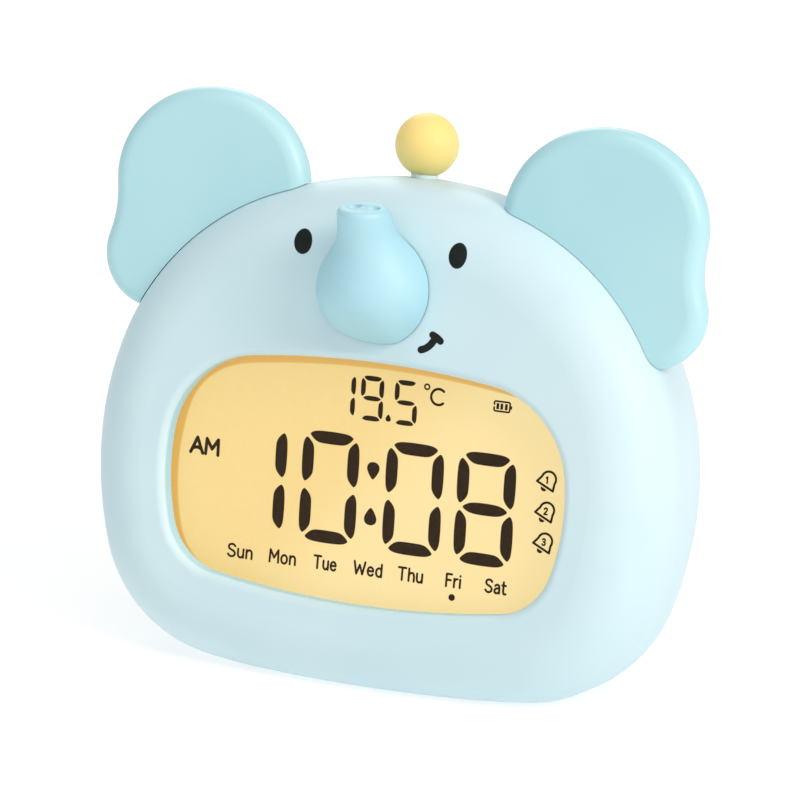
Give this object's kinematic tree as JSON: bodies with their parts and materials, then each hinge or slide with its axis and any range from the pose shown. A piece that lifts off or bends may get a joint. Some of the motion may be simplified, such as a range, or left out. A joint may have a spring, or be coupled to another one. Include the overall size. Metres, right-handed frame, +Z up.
{
  "type": "kids alarm clock",
  "caption": "Free-standing alarm clock shaped as a round elephant head with ears and trunk, a wide lit display in the face, a ball button on top and keys at the back.",
  "frame": {"origin": "on the floor under the middle of the whole clock", "axes": "+Z up, +X to the clock's left-hand side seen from behind (right in a front view), the face looks towards -Y and leans back"},
  "size_m": [0.1258, 0.0576, 0.1094],
  "materials": {
    "body_plastic": "satin pale blue moulded plastic",
    "ear_plastic": "satin light blue moulded plastic",
    "trunk_plastic": "satin light blue moulded plastic",
    "ball_plastic": "satin pale yellow moulded plastic",
    "key_plastic": "satin off-white moulded plastic",
    "lens_clear": "clear moulded window",
    "display_amber": "lit amber display glass with dark segments",
    "guide_clear": "clear moulded light guide",
    "holder_plastic": "white moulded plastic",
    "board_green": "green lacquered circuit board",
    "chip_black": "black moulded plastic",
    "socket_white": "off-white moulded plastic",
    "steel": "plated steel",
    "cell_wrap": "round cell in a thin blue sleeve",
    "speaker_steel": "pressed steel, painted dark",
    "cone_paper": "dark pressed paper",
    "strip_rubber": "conducting rubber strip",
    "foot_rubber": "soft pale grey rubber"
  },
  "bodies": {
    "case": {"front_shell": "body_plastic", "rear_shell": "body_plastic", "ear_right": "ear_plastic", "ear_left": "ear_plastic", "trunk": "trunk_plastic", "window_lens": "lens_clear", "lcd_panel": "display_amber", "light_guide": "guide_clear", "lamp_strip": "socket_white", "contact_strip": "strip_rubber", "display_holder": "holder_plastic", "main_board": "board_green", "clock_chip": "chip_black", "quartz_crystal": "steel", "temperature_sensor": "chip_black", "wire_sockets": "socket_white", "display_screws": "steel", "case_screws": "steel", "ear_screws": "steel", "trunk_screws": "steel", "ball_switch": "chip_black", "switch_board": "board_green", "switch_bracket": "holder_plastic", "bracket_screws": "steel", "key_switches": "chip_black", "key_board": "board_green", "key_board_screws": "steel", "speaker_basket": "speaker_steel", "speaker_cone": "cone_paper", "speaker_magnet": "steel", "charging_socket": "steel", "charge_board": "board_green", "charge_board_screws": "steel", "battery_cell": "cell_wrap", "battery_cradle": "holder_plastic", "rubber_feet": "foot_rubber"},
    "ball_button": {"ball_cap": "ball_plastic", "ball_stem": "trunk_plastic", "ball_plunger": "socket_white"},
    "button_alarm": {"key_alarm": "key_plastic", "plunger_alarm": "socket_white"},
    "button_down": {"key_down": "key_plastic", "plunger_down": "socket_white"},
    "button_up": {"key_up": "key_plastic", "plunger_up": "socket_white"},
    "button_set": {"key_set": "key_plastic", "plunger_set": "socket_white"}
  },
  "joints": [
    {"name": "ball_press", "type": "slide", "parent": "case", "child": "ball_button", "axis": [0, -0.2028, -0.9792], "range_m": [0, 0.0005], "stiffness_N_per_m": 900, "springref_m": -0.0006},
    {"name": "alarm_press", "type": "slide", "parent": "case", "child": "button_alarm", "axis": [0, -0.9792, 0.2028], "range_m": [0, 0.0007], "stiffness_N_per_m": 900, "springref_m": -0.0006},
    {"name": "down_press", "type": "slide", "parent": "case", "child": "button_down", "axis": [0, -0.9792, 0.2028], "range_m": [0, 0.0007], "stiffness_N_per_m": 900, "springref_m": -0.0006},
    {"name": "up_press", "type": "slide", "parent": "case", "child": "button_up", "axis": [0, -0.9792, 0.2028], "range_m": [0, 0.0007], "stiffness_N_per_m": 900, "springref_m": -0.0006},
    {"name": "set_press", "type": "slide", "parent": "case", "child": "button_set", "axis": [0, -0.9792, 0.2028], "range_m": [0, 0.0007], "stiffness_N_per_m": 900, "springref_m": -0.0006}
  ]
}
